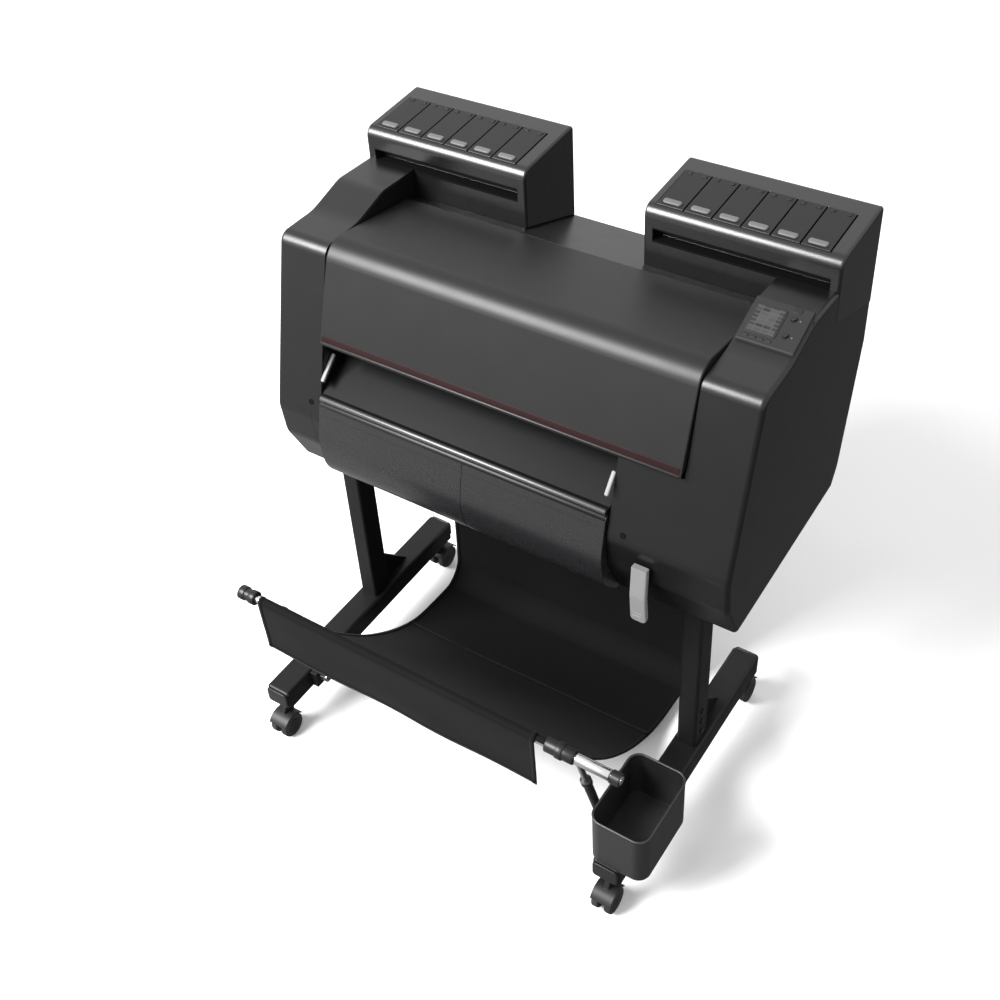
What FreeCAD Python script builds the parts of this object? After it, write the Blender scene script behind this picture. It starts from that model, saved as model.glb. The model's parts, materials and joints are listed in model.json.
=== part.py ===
import FreeCAD, Part
import math
import os
import re

import Sketcher

# A roll-fed inkjet printer on a wheeled stand with a cloth catch basket.
# Millimetres. +X is the operator's right, +Y the back, +Z up.
# The origin lies on the floor under the middle of the outline.

doc = FreeCAD.newDocument("inkjet_printer")
sheet = doc.addObject("Spreadsheet::Sheet", "Size")

SIZES = {
    # outline and casing
    "half_width": 500, "top_height": 1168, "back_face": 414, "wall": 3,
    "side_inner": 388, "block_inner": 262, "tower_inner": 126,
    # side view of the casing
    "foot_line_front": -86, "foot_line_height": 545, "belly_front": -131, "belly_height": 640,
    "nose_front": -138, "nose_height": 715, "shoulder_front": -47, "shoulder_height": 1056,
    "shoulder_round": 26, "left_lift": 12, "ledge_back": 48, "ledge_height": 1062,
    "rise_back": 134, "rise_height": 1094, "saddle_back": 234.8, "saddle_height": 1090,
    "side_round": 9, "pan_top": 571, "deck_front": 202, "deck_front_height": 1042,
    "deck_back_height": 966, "rear_bend_height": 880, "rear_low": 360, "rear_low_height": 610,
    "rear_foot": 336, "rear_foot_height": 568,
    # ink towers
    "lip_front": 235, "lip_height": 1154, "lip_round": 22, "slot_high": 1107, "slot_low": 1087,
    "slot_back": 260, "slot_margin": 18,
    "lid_inset": 16, "lid_pitch": 55, "lid_width": 52, "lid_front": 250, "lid_back": 366,
    "lid_thick": 5, "tank_width": 47, "tank_front": 282, "tank_back": 404, "tank_low": 1018,
    "tank_high": 1136,
    # top cover
    "cover_front": -42, "cover_height": 1079, "cover_low_front": -107, "cover_low": 884,
    "cover_back": 199, "cover_back_height": 1044, "cover_wall": 4, "cover_half": 386,
    "cover_round": 46,
    # paper path
    "guide_left": -385, "guide_right": 260, "guide_lip_front": -134, "guide_lip_height": 771,
    "guide_top_back": -6, "guide_top_height": 846, "guide_thick": 6,
    "platen_height": 858, "platen_back": 64, "feed_back": 84, "feed_height": 850,
    "feed_radius": 11, "rod_back": 128, "rod_height": 902, "rod_radius": 8, "slip": 0.05,
    "carriage_left": 290, "carriage_right": 376, "belt_height": 962, "belt_thick": 1.5,
    "belt_wide": 8, "pulley_radius": 11, "pulley_reach": 366, "belt_back": 172,
    # roll bay
    "spool_back": 44, "spool_height": 640, "spool_radius": 24, "spool_flange": 56,
    "hatch_pivot_front": -112, "hatch_pivot_height": 722, "hatch_low_front": -98,
    "hatch_low": 548, "hatch_front": -156, "hatch_front_height": 668, "hatch_chin": -147,
    "hatch_chin_height": 598, "hatch_top_front": -136, "hatch_top": 760, "hatch_thick": 5,
    "hatch_round": 150, "chin_round": 90,
    # control panel and lever
    "panel_left": 392, "panel_right": 494, "panel_front": 62, "panel_back": 146,
    "panel_front_height": 1073, "panel_back_height": 1107, "key_radius": 4.5, "key_rise": 2,
    "lever_middle": 336, "lever_width": 32, "lever_front": -154, "lever_top": 686,
    "lever_low": 552, "lever_thick": 12,
    # stand
    "foot_middle": 404, "foot_width": 60, "foot_low": 96, "foot_top": 141, "foot_front": -392,
    "foot_back": 216, "post_width": 42, "post_front": -68, "post_back": -16,
    "stay_high": 537, "stay_low": 505, "stay_back": 28, "gusset_high": 230,
    "gusset_back": 70, "gusset_thick": 8,
    "caster_front": -365, "caster_back": 188, "caster_trail": 20, "wheel_radius": 28,
    "wheel_width": 15, "wheel_offset": 14, "axle_radius": 4, "fork_half": 5,
    # accessory pocket
    "pocket_left": 364, "pocket_right": 484, "pocket_front": -390, "pocket_back": -212,
    "pocket_low": 141, "pocket_high": 262, "pocket_wall": 3, "pocket_round": 26,
    # basket
    "arm_reach": 345, "pin_radius": 4, "arm_pivot_front": -300, "arm_pivot_height": 128, "rod_front": -388,
    "rod_lift": 426, "bar_radius": 8, "arm_radius": 6, "rod_left_end": -445,
    "rod_right_end": 436, "cloth_left": -336, "cloth_right": 296, "cloth_thick": 3,
    "sag_low": 17, "sag_back": 85, "seam_front": -285, "bend_radius": 62,
    "rear_rod_back": 190, "rear_rod_height": 352, "hanger_reach": 374, "flap_left": -388,
    "flap_right": 262, "flap_low": 298,
}
for row, (alias, size) in enumerate(SIZES.items(), start=1):
    sheet.set(f"A{row}", alias)
    sheet.set(f"B{row}", str(size))
    sheet.setAlias(f"B{row}", alias)
doc.recompute()

WORD = re.compile(r"[a-z_]+")
TURN_TO = {
    "x": FreeCAD.Rotation(FreeCAD.Vector(0, 1, 0), 90),
    "y": FreeCAD.Rotation(FreeCAD.Vector(1, 0, 0), -90),
    "z": FreeCAD.Rotation(),
}
EASE = 0.01
parts = []


def bound(formula):
    """Turns the size names in a formula into references to the sheet."""
    return WORD.sub(lambda m: "Size." + m[0] if m[0] in SIZES else m[0], str(formula))


def value(formula):
    """The number a formula has now."""
    return float(sheet.evalExpression(bound(formula)))


def bind(item, prop, formula):
    item.setExpression(prop, bound(formula))


def keep(item, label):
    """Marks an object as a finished sub-part and names it."""
    item.Label = label
    parts.append(item)
    return item


# ---- plain solids -------------------------------------------------------------------------

def block(x, y, z, name="Block"):
    """A box between two limits, each a formula, on every axis."""
    item = doc.addObject("Part::Box", name)
    for prop, (low, high) in zip(("Length", "Width", "Height"), (x, y, z)):
        bind(item, prop, f"({high}) - ({low})")
    place(item, x[0], y[0], z[0])
    return item


def place(item, x, y, z):
    for axis, formula in zip("xyz", (x, y, z)):
        bind(item, "Placement.Base." + axis, formula)


def rod(axis, start, length, radius, name="Rod"):
    """A cylinder from a start point along one axis."""
    item = doc.addObject("Part::Cylinder", name)
    item.Placement = FreeCAD.Placement(FreeCAD.Vector(), TURN_TO[axis])
    bind(item, "Radius", radius)
    bind(item, "Height", length)
    place(item, *start)
    return item


def cut(base, tool, name="Cut"):
    item = doc.addObject("Part::Cut", name)
    item.Base = base
    item.Tool = tool
    return item


def join(items, name="Joined"):
    item = doc.addObject("Part::MultiFuse", name)
    item.Shapes = items
    return item


def group(items, name="Group"):
    """Separate solids that share one node."""
    item = doc.addObject("Part::Compound", name)
    item.Links = items
    return item


def rounded(item, radius, test, name="Rounded"):
    """The item with the edges that pass the test rounded."""
    doc.recompute()
    size = value(radius)
    result = doc.addObject("Part::Fillet", name)
    result.Base = item
    edges = [i for i, edge in enumerate(item.Shape.Edges, 1) if test(edge)]
    result.Edges = [(i, size, size) for i in edges]
    return result


# ---- prisms drawn as side views -----------------------------------------------------------

def draw(body, plane, offset, corners):
    """A closed polygon on a plane of the body; each corner is a pair of formulas."""
    sketch = body.newObject("Sketcher::SketchObject", "Outline")
    origin_plane = next(f for f in body.Origin.OriginFeatures if f.Role == plane)
    sketch.AttachmentSupport = [(origin_plane, "")]
    sketch.MapMode = "FlatFace"
    bind(sketch, "AttachmentOffset.Base.z", offset)
    points = [FreeCAD.Vector(value(u), value(v), 0) for u, v in corners]
    count = len(points)
    for i in range(count):
        sketch.addGeometry(Part.LineSegment(points[i], points[(i + 1) % count]))
    for i, corner in enumerate(corners):
        sketch.addConstraint(Sketcher.Constraint("Coincident", (i - 1) % count, 2, i, 1))
        for kind, formula in zip(("DistanceX", "DistanceY"), corner):
            here = value(formula)
            index = sketch.addConstraint(Sketcher.Constraint(kind, -1, 1, i, 1, here))
            bind(sketch, f"Constraints[{index}]", formula)
    return sketch


def pad(body, plane, low, high, corners):
    sketch = draw(body, plane, low, corners)
    feature = body.newObject("PartDesign::Pad", "Pad")
    feature.Profile = sketch
    bind(feature, "Length", f"({high}) - ({low})")
    doc.recompute()
    return feature


def pocket(body, plane, low, high, corners):
    """Removes the prism between two limits, and checks that it removed something."""
    before = body.Shape.Volume
    sketch = draw(body, plane, high, corners)
    feature = body.newObject("PartDesign::Pocket", "Pocket")
    feature.Profile = sketch
    bind(feature, "Length", f"({high}) - ({low})")
    doc.recompute()
    if body.Shape.Volume >= before:
        raise RuntimeError("a pocket in " + body.Label + " cuts nothing")
    return feature


def prism(low, high, corners, name="Prism", plane="YZ_Plane"):
    body = doc.addObject("PartDesign::Body", name)
    pad(body, plane, low, high, corners)
    return body


def along_x(y, z):
    """A test for the edge that runs along X at one point of the side view."""
    y, z = value(y), value(z)
    return lambda edge: all(
        abs(v.Point.y - y) < EASE and abs(v.Point.z - z) < EASE for v in edge.Vertexes
    )


def in_plane(axis, formula):
    """A test for an edge or a face that lies in one plane across an axis."""
    level = value(formula)
    return lambda item: all(
        abs(getattr(v.Point, axis) - level) < EASE for v in item.Vertexes
    )


def soften(body, radius, test):
    """Rounds the edges of a body that pass the test."""
    base = body.Tip
    feature = body.newObject("PartDesign::Fillet", "Rounding")
    edges = [f"Edge{i}" for i, edge in enumerate(base.Shape.Edges, 1) if test(edge)]
    feature.Base = (base, edges)
    bind(feature, "Radius", radius)
    doc.recompute()


def inset(corners, distance):
    """The corners moved inwards so that every side lies a wall's thickness further in."""
    points = [FreeCAD.Vector(value(u), value(v), 0) for u, v in corners]
    count = len(points)
    turn = sum(points[i - 1].cross(points[i]).z for i in range(count))
    spin = math.copysign(1, turn)
    moved = []
    for i, (u, v) in enumerate(corners):
        before = (points[i] - points[i - 1]).normalize()
        after = (points[(i + 1) % count] - points[i]).normalize()
        first = FreeCAD.Vector(-before.y, before.x, 0) * spin
        second = FreeCAD.Vector(-after.y, after.x, 0) * spin
        miter = (first + second) / (1 + first.dot(second))
        moved.append((f"{u} + ({distance}) * {miter.x:.6f}", f"{v} + ({distance}) * {miter.y:.6f}"))
    return moved


def deck_line(y, lift=0):
    """Height of the sloping deck behind the top cover."""
    slope = "(deck_back_height - deck_front_height) / (back_face - deck_front)"
    return f"deck_front_height + (({y}) - deck_front) * {slope} + {lift}"


def tower_line(y, lift=0):
    """Height of the sloping top of an ink tower."""
    slope = "(top_height - lip_height) / (back_face - lip_front)"
    return f"lip_height + (({y}) - lip_front) * {slope} + {lift}"


# ---- casing -------------------------------------------------------------------------------

FRONT_LINE = [
    ("nose_front", "nose_height"),
    ("belly_front", "belly_height"),
    ("foot_line_front", "foot_line_height"),
]
FRONT_ROUNDS = (60, 50, 12)
REAR_LINE = [
    ("rear_foot", "rear_foot_height"),
    ("rear_low", "rear_low_height"),
    ("back_face", "rear_bend_height"),
    ("back_face", "deck_back_height"),
]
REAR_ROUND, LEDGE_ROUND, RISE_ROUND = 30, 120, 60


def shoulder(lift):
    """The top of a side housing; the lift raises its front edge."""
    return [
        ("saddle_back", deck_line("saddle_back")),
        ("saddle_back", "saddle_height"),
        ("rise_back", "rise_height"),
        ("ledge_back", f"ledge_height + {lift} / 2"),
        ("shoulder_front", f"shoulder_height + {lift}"),
    ]


def housing(name, x, outer, lift):
    """A shell with the casing's side view, closed on its outer side."""
    side_view = FRONT_LINE + REAR_LINE + shoulder(lift)
    rise, ledge, edge = side_view[-3:]
    body = prism(*x, side_view, name)
    inner_view = inset(side_view, "wall")
    hollow = [f"{x[0]} + wall", x[1]] if outer == x[0] else [x[0], f"{x[1]} - wall"]
    pocket(body, "YZ_Plane", *hollow, inner_view)
    soften(body, "shoulder_round - wall", along_x(*inner_view[-1]))
    for corner, radius in zip(FRONT_LINE, FRONT_ROUNDS):
        soften(body, radius, along_x(*corner))
    soften(body, REAR_ROUND, along_x("rear_low", "rear_low_height"))
    soften(body, LEDGE_ROUND, along_x(*ledge))
    soften(body, RISE_ROUND, along_x(*rise))
    soften(body, "shoulder_round", along_x(*edge))
    on_outer = in_plane("x", outer)
    saddle = value("saddle_back") - EASE
    deck = value("deck_back_height") - EASE
    soften(body, "side_round", lambda e: on_outer(e) and not all(
        v.Point.y > saddle and v.Point.z > deck for v in e.Vertexes))
    return body


def left_side_housing():
    outer = "-half_width"
    keep(housing("LeftHousing", (outer, "-side_inner"), outer, "left_lift"), "left_side_housing")


def right_side_housing():
    """The wider right side: its lower part reaches in under the top cover."""
    inner, block_top = "side_inner", "cover_low - 8"
    body = housing("RightHousing", (inner, "half_width"), "half_width", "0")
    lean = "(shoulder_front - nose_front) / (shoulder_height - nose_height)"
    low_view = FRONT_LINE + [
        ("belly_front + 100", "foot_line_height"),
        ("belly_front + 100", block_top),
        (f"nose_front + ({block_top} - nose_height) * {lean}", block_top),
    ]
    low_block = prism("block_inner", inner, low_view, "RightBlock")
    for (y, z), radius in zip(FRONT_LINE, FRONT_ROUNDS):
        soften(low_block, radius, along_x(y, z))
    pocket(low_block, "YZ_Plane", "block_inner + wall", inner, inset(low_view, "wall"))
    keep(join([body, low_block], "RightSide"), "right_side_housing")


def rear_cover():
    """The sheet that closes the back and the deck between the towers."""
    skin = [
        ("deck_front", "deck_front_height"),
        ("back_face", "deck_back_height"),
        ("back_face", "rear_bend_height"),
        ("rear_low", "rear_low_height"),
        ("rear_foot", "rear_foot_height"),
        ("rear_foot - wall", "rear_foot_height"),
        ("rear_low - wall", "rear_low_height"),
        ("back_face - wall", "rear_bend_height"),
        ("back_face - wall", "deck_back_height - wall"),
        ("deck_front", "deck_front_height - wall"),
    ]
    body = prism("-side_inner + 0.5", "side_inner - 0.5", skin, "RearSkin")
    hole = block(("-332", "-288"), ("rear_low - 20", "rear_low + 30"), ("644", "678"))
    keep(cut(body, hole, "RearCover"), "rear_cover")


def tower(label, left, outer):
    """A shell that stands on the deck, with a rounded lip over a slot."""
    right = f"{left} + half_width - tower_inner"
    outline = [
        ("lip_front", deck_line("lip_front")),
        ("back_face", deck_line("back_face")),
        ("back_face", "top_height"),
        ("lip_front", "lip_height"),
    ]
    body = prism(left, right, outline, "Tower")
    hollow_view = inset(outline, "wall")
    pocket(body, "YZ_Plane", f"{left} + wall", f"{right} - wall", hollow_view)
    soften(body, "lip_round - wall", along_x(*hollow_view[-1]))
    soften(body, "lip_round", along_x("lip_front", "lip_height"))
    soften(body, 10, along_x("back_face", "top_height"))
    on_outer, on_inner = in_plane("x", outer), in_plane("x", left if outer == right else right)
    above = value("lip_height - lip_round") - EASE
    soften(body, 5, lambda e: on_inner(e) or on_outer(e) and min(v.Point.z for v in e.Vertexes) > above)
    first = f"{left} + lid_inset"
    pocket(body, "XY_Plane", "tank_high + 1", "top_height + 20", [
        (f"{first} - 1", "lid_front - 1"),
        (f"{first} + 6 * lid_pitch", "lid_front - 1"),
        (f"{first} + 6 * lid_pitch", "lid_back + 1"),
        (f"{first} - 1", "lid_back + 1"),
    ])
    tower_slot(body, left, right)
    keep(body, label)


def tower_slot(body, left, right):
    """The dark slot under the lip, closed at both ends and at the back."""
    backing, low, high = "slot_back + wall", "slot_low - 6", "slot_high + 12"
    pad(body, "YZ_Plane", f"{left} + wall", f"{right} - wall", [
        ("lip_front + wall / 2", low), (backing, low), (backing, high), ("lip_front + wall / 2", high),
    ])
    pocket(body, "YZ_Plane", f"{left} + slot_margin", f"{right} - slot_margin", [
        ("lip_front - 5", "slot_low"), ("slot_back", "slot_low"),
        ("slot_back", "slot_high"), ("lip_front - 5", "slot_high"),
    ])
    soften(body, 7, along_x("lip_front", "slot_high"))
    soften(body, 2, along_x("lip_front", "slot_low"))


def lid(label, left):
    """One ink tank lid, hinged at its back edge."""
    outline = [
        ("lid_front", tower_line("lid_front", "- lid_thick")),
        ("lid_back", tower_line("lid_back", "- lid_thick")),
        ("lid_back", tower_line("lid_back", "1")),
        ("lid_front", tower_line("lid_front", "1")),
    ]
    body = prism(left, f"{left} + lid_width", outline, "Lid")
    soften(body, 2, along_x("lid_front", outline[3][1]))
    keep(body, label)


def ink_towers():
    tanks = []
    right_end = "tower_inner + half_width - tower_inner"
    for side, left, outer in (("left", "-half_width", "-half_width"), ("right", "tower_inner", right_end)):
        tower(side + "_ink_tower", left, outer)
        for number in range(6):
            start = f"{left} + lid_inset + {number} * lid_pitch + 0.5"
            lid(f"{side}_tank_lid_{number + 1}", start)
            middle = f"{start} + lid_width / 2"
            x = (f"{middle} - tank_width / 2", f"{middle} + tank_width / 2")
            tanks.append(block(x, ("tank_front", "tank_back"), ("tank_low", "tank_high")))
    keep(group(tanks, "Tanks"), "ink_tanks")


def base_pan():
    """A shallow steel tray, cut back on the right behind the low block."""
    front, back, right = "-70", "330", "side_inner - 1"
    left, notch = "-side_inner + 1", ("block_inner - 2", "belly_front + 105")
    plate = "2.5"

    def tray(rim, z):
        wide = block((f"{left} + {rim}", f"{notch[0]} - {rim}"), (f"{front} + {rim}", f"{back} - {rim}"), z)
        deep = block((f"{left} + {rim}", f"{right} - {rim}"), (f"{notch[1]} + {rim}", f"{back} - {rim}"), z)
        return join([wide, deep], "Tray")

    outer = tray("0", ("foot_line_height", "pan_top"))
    space = tray(plate, (f"foot_line_height + {plate}", "pan_top + 5"))
    keep(cut(outer, space, "BasePan"), "base_pan")


def frame_plates():
    """Steel plates that stand on the pan and carry the rails and the roll."""
    plates = []
    for x in (("-side_inner + 1", "-side_inner + 3.5"), ("side_inner - 3.5", "side_inner - 1")):
        plates.append(block(x, ("20", "320"), ("pan_top", "940")))
    middle = ("block_inner + 4", "block_inner + 6.5")
    plates.append(block(middle, ("belly_front + 108", "190"), ("pan_top", "830")))
    keep(group(plates, "FramePlates"), "frame_plates")


# ---- top cover, roll cover, lever ---------------------------------------------------------

def top_cover():
    """A lift-up shell: sloping top, rounded front edge and tall front face."""
    outline = [
        ("cover_back", "cover_back_height"),
        ("cover_front", "cover_height"),
        ("cover_low_front", "cover_low"),
    ]
    body = prism("-cover_half", "cover_half", outline, "TopCover")
    inner_edge = inset(outline, "cover_wall")[1]
    pocket(body, "YZ_Plane", "-cover_half + cover_wall", "cover_half - cover_wall", [
        ("cover_back - 3", "cover_back_height - cover_wall"),
        inner_edge,
        ("cover_low_front + cover_wall", "cover_low - 1"),
        ("cover_low_front + 40", "cover_low - 1"),
        ("cover_back - 3", "cover_back_height - 40"),
    ])
    soften(body, "cover_round - cover_wall", along_x(*inner_edge))
    soften(body, "cover_round", along_x("cover_front", "cover_height"))
    soften(body, 2.5, lambda e: in_plane("x", "cover_half")(e) or in_plane("x", "-cover_half")(e))
    keep(body, "top_cover")


def roll_cover():
    """The curved hatch over the roll, on a pivot at each top corner."""
    outline = [
        ("hatch_top_front + 18", "hatch_top"),
        ("hatch_top_front", "hatch_top"),
        ("hatch_front", "hatch_front_height"),
        ("hatch_chin", "hatch_chin_height"),
        ("hatch_low_front", "hatch_low"),
        ("hatch_low_front + 12", "hatch_low"),
        ("hatch_low_front + 30", "hatch_front_height - 30"),
    ]
    body = prism("guide_left", "guide_right", outline, "RollCover")
    inner = inset(outline, "hatch_thick")[1:5]
    behind = [("hatch_low_front + 60", "hatch_low + 5"), ("hatch_low_front + 60", "hatch_top - 5")]
    pocket(body, "YZ_Plane", "guide_left + 4", "guide_right - 4", inner + behind)
    soften(body, "hatch_round - hatch_thick", along_x(*inner[1]))
    soften(body, "chin_round - hatch_thick", along_x(*inner[2]))
    soften(body, "hatch_round", along_x(*outline[2]))
    soften(body, "chin_round", along_x(*outline[3]))
    soften(body, 8, along_x(*outline[1]))
    pins = [
        rod("x", (x, "hatch_pivot_front", "hatch_pivot_height"), "4.5", "3")
        for x in ("guide_left - 1.5", "guide_right - 3")
    ]
    keep(join([body] + pins, "PinnedCover"), "roll_cover")


def release_lever():
    """The pale lever that frees the paper, hanging beside the roll cover."""
    middle, width = "lever_middle", "lever_width"
    x = (f"{middle} - {width} / 2", f"{middle} + {width} / 2")
    blade = prism(*x, [
        ("lever_front", "lever_top"),
        ("lever_front - 5", "(lever_top + lever_low) / 2"),
        ("lever_front", "lever_low"),
        ("lever_front + lever_thick", "lever_low"),
        ("lever_front + lever_thick - 5", "(lever_top + lever_low) / 2"),
        ("lever_front + lever_thick", "lever_top"),
    ], "Lever")
    soften(blade, 40, along_x("lever_front - 5", "(lever_top + lever_low) / 2"))
    low = in_plane("z", "lever_low")
    soften(blade, 9, lambda e: low(e) and abs(e.tangentAt(e.FirstParameter).y) > 0.9)
    soften(blade, 3, lambda e: in_plane("x", x[0])(e) or in_plane("x", x[1])(e))
    keep(blade, "release_lever")


# ---- paper path and print engine ----------------------------------------------------------

def exit_guide():
    body = prism("guide_left", "guide_right", [
        ("guide_lip_front", "guide_lip_height"),
        ("guide_lip_front", "guide_lip_height - 5"),
        ("guide_lip_front + 10", "guide_lip_height - 7"),
        ("guide_top_back", "guide_top_height - guide_thick"),
        ("guide_top_back", "guide_top_height"),
        ("guide_lip_front + 12", "guide_lip_height + 3"),
    ], "ExitGuide")
    soften(body, 3, along_x("guide_lip_front + 12", "guide_lip_height + 3"))
    keep(body, "exit_guide")


def platen():
    reach = "side_inner - 3.5"
    table = block((f"-({reach})", reach), ("0", "platen_back"), ("platen_height - 14", "platen_height"))
    slots = [
        block((f"{x} - 12", f"{x} + 12"), ("16", "48"), ("platen_height - 4", "platen_height + 5"))
        for x in range(-350, 351, 50)
    ]
    keep(cut(table, join(slots, "Slots"), "Platen"), "platen")


def feed_roller():
    reach = "side_inner - 8"
    shaft = rod("x", (f"-({reach})", "feed_back", "feed_height - 3"), f"2 * ({reach})", "feed_radius")
    keep(shaft, "feed_roller")


def carriage_rail():
    reach = "side_inner - 3.5"
    beam = block((f"-({reach})", reach), ("rod_back + 24", "rod_back + 30"),
                 ("rod_height - 30", "rod_height + 40"))
    flange = block((f"-({reach})", reach), ("rod_back + 24", "rod_back + 60"),
                   ("rod_height + 34", "rod_height + 40"))
    guide = rod("x", (f"-({reach})", "rod_back", "rod_height"), f"2 * ({reach})", "rod_radius")
    keep(group([join([beam, flange], "Beam"), guide], "Rail"), "carriage_rail")


def carriage():
    """The print head carriage, parked over the capping station."""
    x = ("carriage_left", "carriage_right")
    case = block(x, ("24", "rod_back + 18"), ("platen_height + 12", "platen_height + 96"))
    bore = rod("x", ("carriage_left - 5", "rod_back", "rod_height"), "carriage_right - carriage_left + 10",
               "rod_radius + slip")
    head = block(("carriage_left + 14", "carriage_right - 14"), ("18", "70"),
                 ("platen_height + 2", "platen_height + 30"))
    keep(cut(join([case, head], "CarriageCase"), bore, "Carriage"), "carriage")


def belt_drive():
    """A toothed belt round two upright pulleys above the rail."""
    z = ("belt_height - belt_wide / 2", "belt_wide")
    loops = []
    for radius in ("pulley_radius + slip + belt_thick", "pulley_radius + slip"):
        ends = [rod("z", (x, "belt_back", z[0]), z[1], radius) for x in ("-pulley_reach", "pulley_reach")]
        y = (f"belt_back - ({radius})", f"belt_back + {radius}")
        middle = block(("-pulley_reach", "pulley_reach"), y, (z[0], f"{z[0]} + {z[1]}"))
        loops.append(join(ends + [middle], "Loop"))
    keep(cut(loops[0], loops[1], "Belt"), "drive_belt")
    for label, x in (("drive_pulley", "pulley_reach"), ("idler_pulley", "-pulley_reach")):
        wheel = rod("z", (x, "belt_back", z[0]), z[1], "pulley_radius")
        hub = rod("z", (x, "belt_back", f"{z[0]} - 5"), "belt_wide + 10", "pulley_radius - 5")
        keep(join([wheel, hub], "Pulley"), label)


def drive_motors():
    carriage_motor = rod("z", ("pulley_reach", "belt_back", "belt_height + 16"), "44", "18")
    feed_motor = rod("x", ("-side_inner + 3.5", "feed_back + 40", "feed_height - 60"), "50", "20")
    keep(group([carriage_motor, feed_motor], "Motors"), "drive_motors")


def capping_station():
    tray = block(("carriage_left + 2", "carriage_right - 2"), ("2", "platen_back + 6"), ("780", "838"))
    cap = block(("carriage_left + 22", "carriage_right - 22"), ("20", "60"), ("838", "843.5"))
    pillar = block(("carriage_left + 14", "carriage_right - 14"), ("10", "60"),
                   ("foot_line_height + 2.5", "780"))
    keep(join([pillar, tray, cap], "Capping"), "capping_station")


def roll_spool():
    """The spindle that carries the roll, with a flange at each end."""
    ends = "guide_left + 6", "guide_right + 4"
    core = rod("x", (ends[0], "spool_back", "spool_height"), f"({ends[1]}) - ({ends[0]})", "spool_radius")
    flanges = [
        rod("x", (x, "spool_back", "spool_height"), "12", "spool_flange")
        for x in ("guide_left + 16", "guide_right - 18")
    ]
    keep(join([core] + flanges, "Spool"), "roll_spool")


def electronics():
    board = block(("-200", "180"), ("300", "303"), ("640", "840"))
    chips = [
        block((x, f"{x} + 34"), ("294", "300"), (z, f"{z} + 34"))
        for x in (-160, -60, 40, 120) for z in (670, 770)
    ]
    keep(join([board] + chips, "Board"), "control_board")
    keep(block(("-370", "-240"), ("200", "300"), ("foot_line_height + 2.5", "760")), "power_supply")
    face = block(("-331", "-289"), ("rear_low - 30", "rear_low + 12"), ("645", "677"))
    mouth = block(("-324", "-296"), ("rear_low - 8", "rear_low + 20"), ("652", "670"))
    keep(cut(face, mouth, "Inlet"), "power_inlet")


def panel_line(y, lift=0):
    """Height of the tilted panel's top."""
    slope = "(panel_back_height - panel_front_height) / (panel_back - panel_front)"
    return f"panel_front_height + (({y}) - panel_front) * {slope} + {lift}"


def control_panel():
    """The tilted operating panel on the right shoulder, its screen and two keys."""
    rest = "0.2"
    slope = "(rise_height - ledge_height) / (rise_back - ledge_back)"
    body = prism("panel_left", "panel_right", [
        ("panel_front", f"ledge_height + (panel_front - ledge_back) * {slope} + {rest}"),
        ("rise_back", f"rise_height + {rest}"),
        ("panel_back", f"rise_height + {rest}"),
        ("panel_back", "panel_back_height"),
        ("panel_front", "panel_front_height"),
    ], "Panel")
    soften(body, 3, along_x("panel_back", "panel_back_height"))
    soften(body, 3, along_x("panel_front", "panel_front_height"))
    keys = []
    for label, y in (("power_button", "panel_front + 26"), ("stop_button", "panel_front + 58")):
        place_xy = "panel_left + 76", y
        keys.append(rod("z", (*place_xy, panel_line(y, -5)), "20", "key_radius + 0.3"))
        keep(rod("z", (*place_xy, panel_line(y, -3)), "key_rise + 4", "key_radius"), label)
    keep(cut(body, join(keys, "KeyHoles"), "PanelCase"), "control_panel")
    low, high = "panel_front + 18", "panel_front + 66"
    screen = prism("panel_left + 10", "panel_left + 58", [
        (low, panel_line(low, 0.05)),
        (high, panel_line(high, 0.05)),
        (high, panel_line(high, 1.6)),
        (low, panel_line(low, 1.6)),
    ], "Screen")
    keep(screen, "panel_screen")


# ---- stand --------------------------------------------------------------------------------

SIDES = (("left", "-1"), ("right", "1"))


def stand():
    posts = []
    feet = []
    for side, sign in SIDES:
        middle = f"{sign} * foot_middle"
        x = (f"{middle} - post_width / 2", f"{middle} + post_width / 2")
        post = block(x, ("post_front", "post_back"), ("foot_top", "foot_line_height - 8"))
        posts.append(rounded(post, 6, lambda e: abs(e.tangentAt(0).z) > 0.9))
        inward = f"{sign} * 34"
        posts.append(block((f"{middle} - {inward} / 2 - 39", f"{middle} - {inward} / 2 + 39"),
                           ("post_front + 16", "90"), ("foot_line_height - 8", "foot_line_height")))
        posts.append(prism(f"{middle} - gusset_thick / 2", f"{middle} + gusset_thick / 2", [
            ("post_back", "foot_top"),
            ("gusset_back", "foot_top"),
            ("post_back", "gusset_high"),
        ], "Gusset"))
        x = (f"{middle} - foot_width / 2", f"{middle} + foot_width / 2")
        foot = block(x, ("foot_front", "foot_back"), ("foot_low", "foot_top"))
        feet.append(rounded(foot, 8, lambda e: value("foot_top") - e.CenterOfMass.z < EASE
                            or abs(e.tangentAt(0).z) > 0.9))
        feet.append(arm_bracket(sign))
    keep(group(posts, "Posts"), "posts")
    keep(group(feet, "Feet"), "feet")
    reach = "foot_middle + 22"
    stay = block((f"-({reach})", reach), ("post_back", "stay_back"), ("stay_low", "stay_high"))
    keep(rounded(stay, 5, lambda e: abs(e.tangentAt(0).x) > 0.9, "Stay"), "cross_stay")


def arm_bracket(sign):
    """A lug on the inner face of a foot, with the pin that a basket arm turns on."""
    middle = f"{sign} * (foot_middle - foot_width / 2 - 8)"
    lug = block((f"{middle} - 8", f"{middle} + 8"), ("arm_pivot_front - 16", "arm_pivot_front + 16"),
                ("foot_low + 4", "arm_pivot_height + 12"))
    start = f"{sign} * (arm_reach + 4) - 16"
    pin = rod("x", (start, "arm_pivot_front", "arm_pivot_height"), "32", "pin_radius")
    return join([lug, pin], "Lug")


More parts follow.
